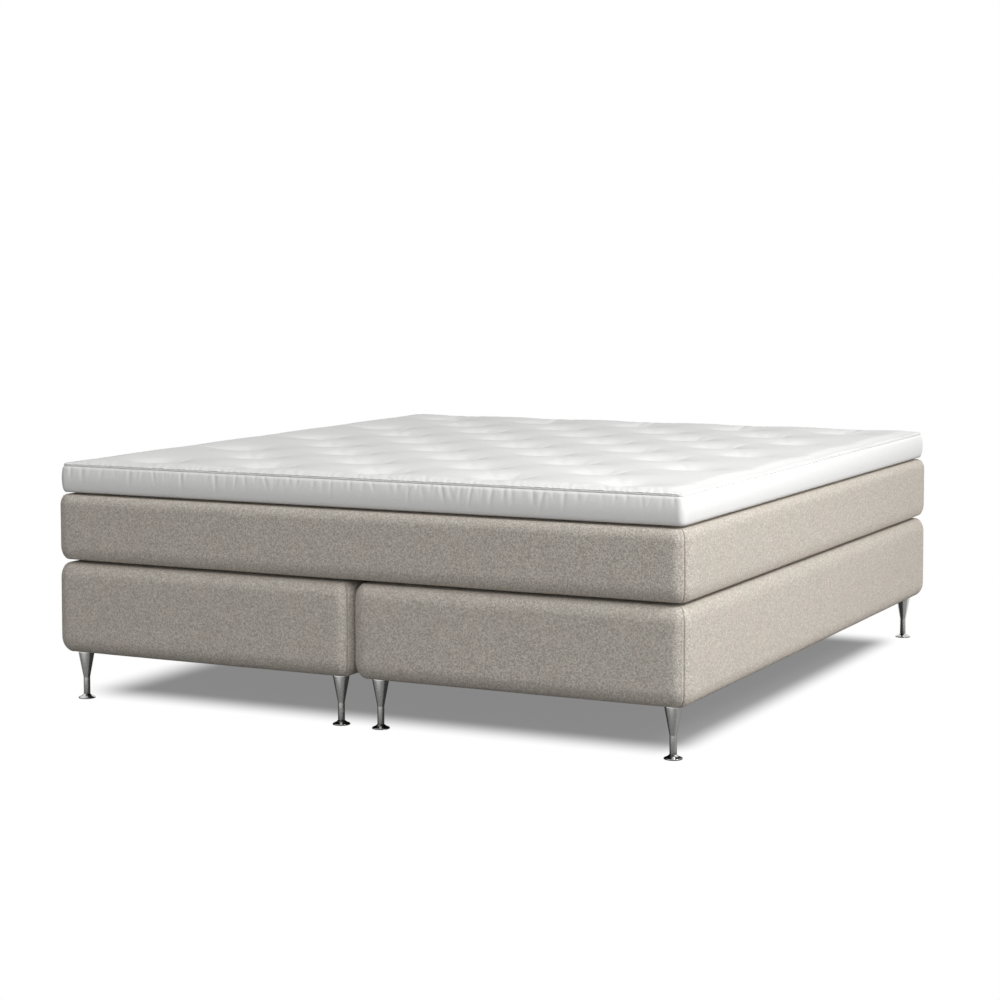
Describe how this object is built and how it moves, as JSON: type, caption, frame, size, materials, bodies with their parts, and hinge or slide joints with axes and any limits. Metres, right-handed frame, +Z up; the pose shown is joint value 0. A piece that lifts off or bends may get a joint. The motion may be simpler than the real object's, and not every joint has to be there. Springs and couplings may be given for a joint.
{
  "type": "box spring bed",
  "caption": "Box spring bed with two upholstered bases side by side on turned steel legs, a sprung mattress across both and a tufted topper.",
  "frame": {"origin": "on the floor, under the middle of the bed", "axes": "+Z up; +Y from the foot end to the head end; +X to the right seen from the foot end"},
  "size_m": [1.8, 2, 0.6359],
  "materials": {
    "upholstery_cloth": "greige melange felted weave, matt",
    "ticking": "white knitted ticking with a soft sheen",
    "foam": "open-cell foam, matt",
    "pocket_cloth": "white non-woven pockets, matt",
    "dust_felt": "dark thin felt, matt",
    "pine": "planed pine, bare",
    "slat_wood": "planed softwood slats, bare",
    "leg_steel": "satin turned steel",
    "glide_steel": "polished chromed steel",
    "link_steel": "zinc-plated sheet steel"
  },
  "bodies": {
    "bases": {"left_rail_outer": "pine", "left_rail_inner": "pine", "left_rail_front": "pine", "left_rail_back": "pine", "left_block_outer_front": "pine", "left_block_outer_back": "pine", "left_block_inner_front": "pine", "left_block_inner_back": "pine", "left_slat_deck": "slat_wood", "left_spring_unit": "pocket_cloth", "left_edge_foam": "foam", "left_foam_pad": "foam", "left_base_cover": "upholstery_cloth", "left_dust_cover": "dust_felt", "left_leg_outer_front": "leg_steel", "left_leg_outer_back": "leg_steel", "left_leg_inner_front": "leg_steel", "left_leg_inner_back": "leg_steel", "right_rail_outer": "pine", "right_rail_inner": "pine", "right_rail_front": "pine", "right_rail_back": "pine", "right_block_outer_front": "pine", "right_block_outer_back": "pine", "right_block_inner_front": "pine", "right_block_inner_back": "pine", "right_slat_deck": "slat_wood", "right_spring_unit": "pocket_cloth", "right_edge_foam": "foam", "right_foam_pad": "foam", "right_base_cover": "upholstery_cloth", "right_dust_cover": "dust_felt", "right_leg_outer_front": "leg_steel", "right_leg_outer_back": "leg_steel", "right_leg_inner_front": "leg_steel", "right_leg_inner_back": "leg_steel", "link_plate_front": "link_steel", "link_plate_back": "link_steel"},
    "mattress": {"mattress_cover": "upholstery_cloth", "mattress_bottom_panel": "dust_felt", "mattress_lower_foam": "foam", "mattress_spring_unit": "pocket_cloth", "mattress_border_foam": "foam", "mattress_upper_foam": "foam"},
    "topper": {"topper_bottom_panel": "ticking", "topper_core": "foam", "topper_side_band": "ticking", "topper_piping": "ticking", "topper_top_panel": "ticking"},
    "left_glide_outer_front": {"left_glide_outer_front": "glide_steel"},
    "left_glide_outer_back": {"left_glide_outer_back": "glide_steel"},
    "left_glide_inner_front": {"left_glide_inner_front": "glide_steel"},
    "left_glide_inner_back": {"left_glide_inner_back": "glide_steel"},
    "right_glide_outer_front": {"right_glide_outer_front": "glide_steel"},
    "right_glide_outer_back": {"right_glide_outer_back": "glide_steel"},
    "right_glide_inner_front": {"right_glide_inner_front": "glide_steel"},
    "right_glide_inner_back": {"right_glide_inner_back": "glide_steel"}
  },
  "joints": [
    {"name": "mattress_lift", "type": "slide", "parent": "bases", "child": "mattress", "axis": [0, 0, 1], "range_m": [0, 0.3]},
    {"name": "topper_lift", "type": "slide", "parent": "mattress", "child": "topper", "axis": [0, 0, 1], "range_m": [0, 0.25]},
    {"name": "level_left_outer_front", "type": "slide", "parent": "bases", "child": "left_glide_outer_front", "axis": [0, 0, -1], "range_m": [0, 0.01]},
    {"name": "level_left_outer_back", "type": "slide", "parent": "bases", "child": "left_glide_outer_back", "axis": [0, 0, -1], "range_m": [0, 0.01]},
    {"name": "level_left_inner_front", "type": "slide", "parent": "bases", "child": "left_glide_inner_front", "axis": [0, 0, -1], "range_m": [0, 0.01]},
    {"name": "level_left_inner_back", "type": "slide", "parent": "bases", "child": "left_glide_inner_back", "axis": [0, 0, -1], "range_m": [0, 0.01]},
    {"name": "level_right_outer_front", "type": "slide", "parent": "bases", "child": "right_glide_outer_front", "axis": [0, 0, -1], "range_m": [0, 0.01]},
    {"name": "level_right_outer_back", "type": "slide", "parent": "bases", "child": "right_glide_outer_back", "axis": [0, 0, -1], "range_m": [0, 0.01]},
    {"name": "level_right_inner_front", "type": "slide", "parent": "bases", "child": "right_glide_inner_front", "axis": [0, 0, -1], "range_m": [0, 0.01]},
    {"name": "level_right_inner_back", "type": "slide", "parent": "bases", "child": "right_glide_inner_back", "axis": [0, 0, -1], "range_m": [0, 0.01]}
  ]
}
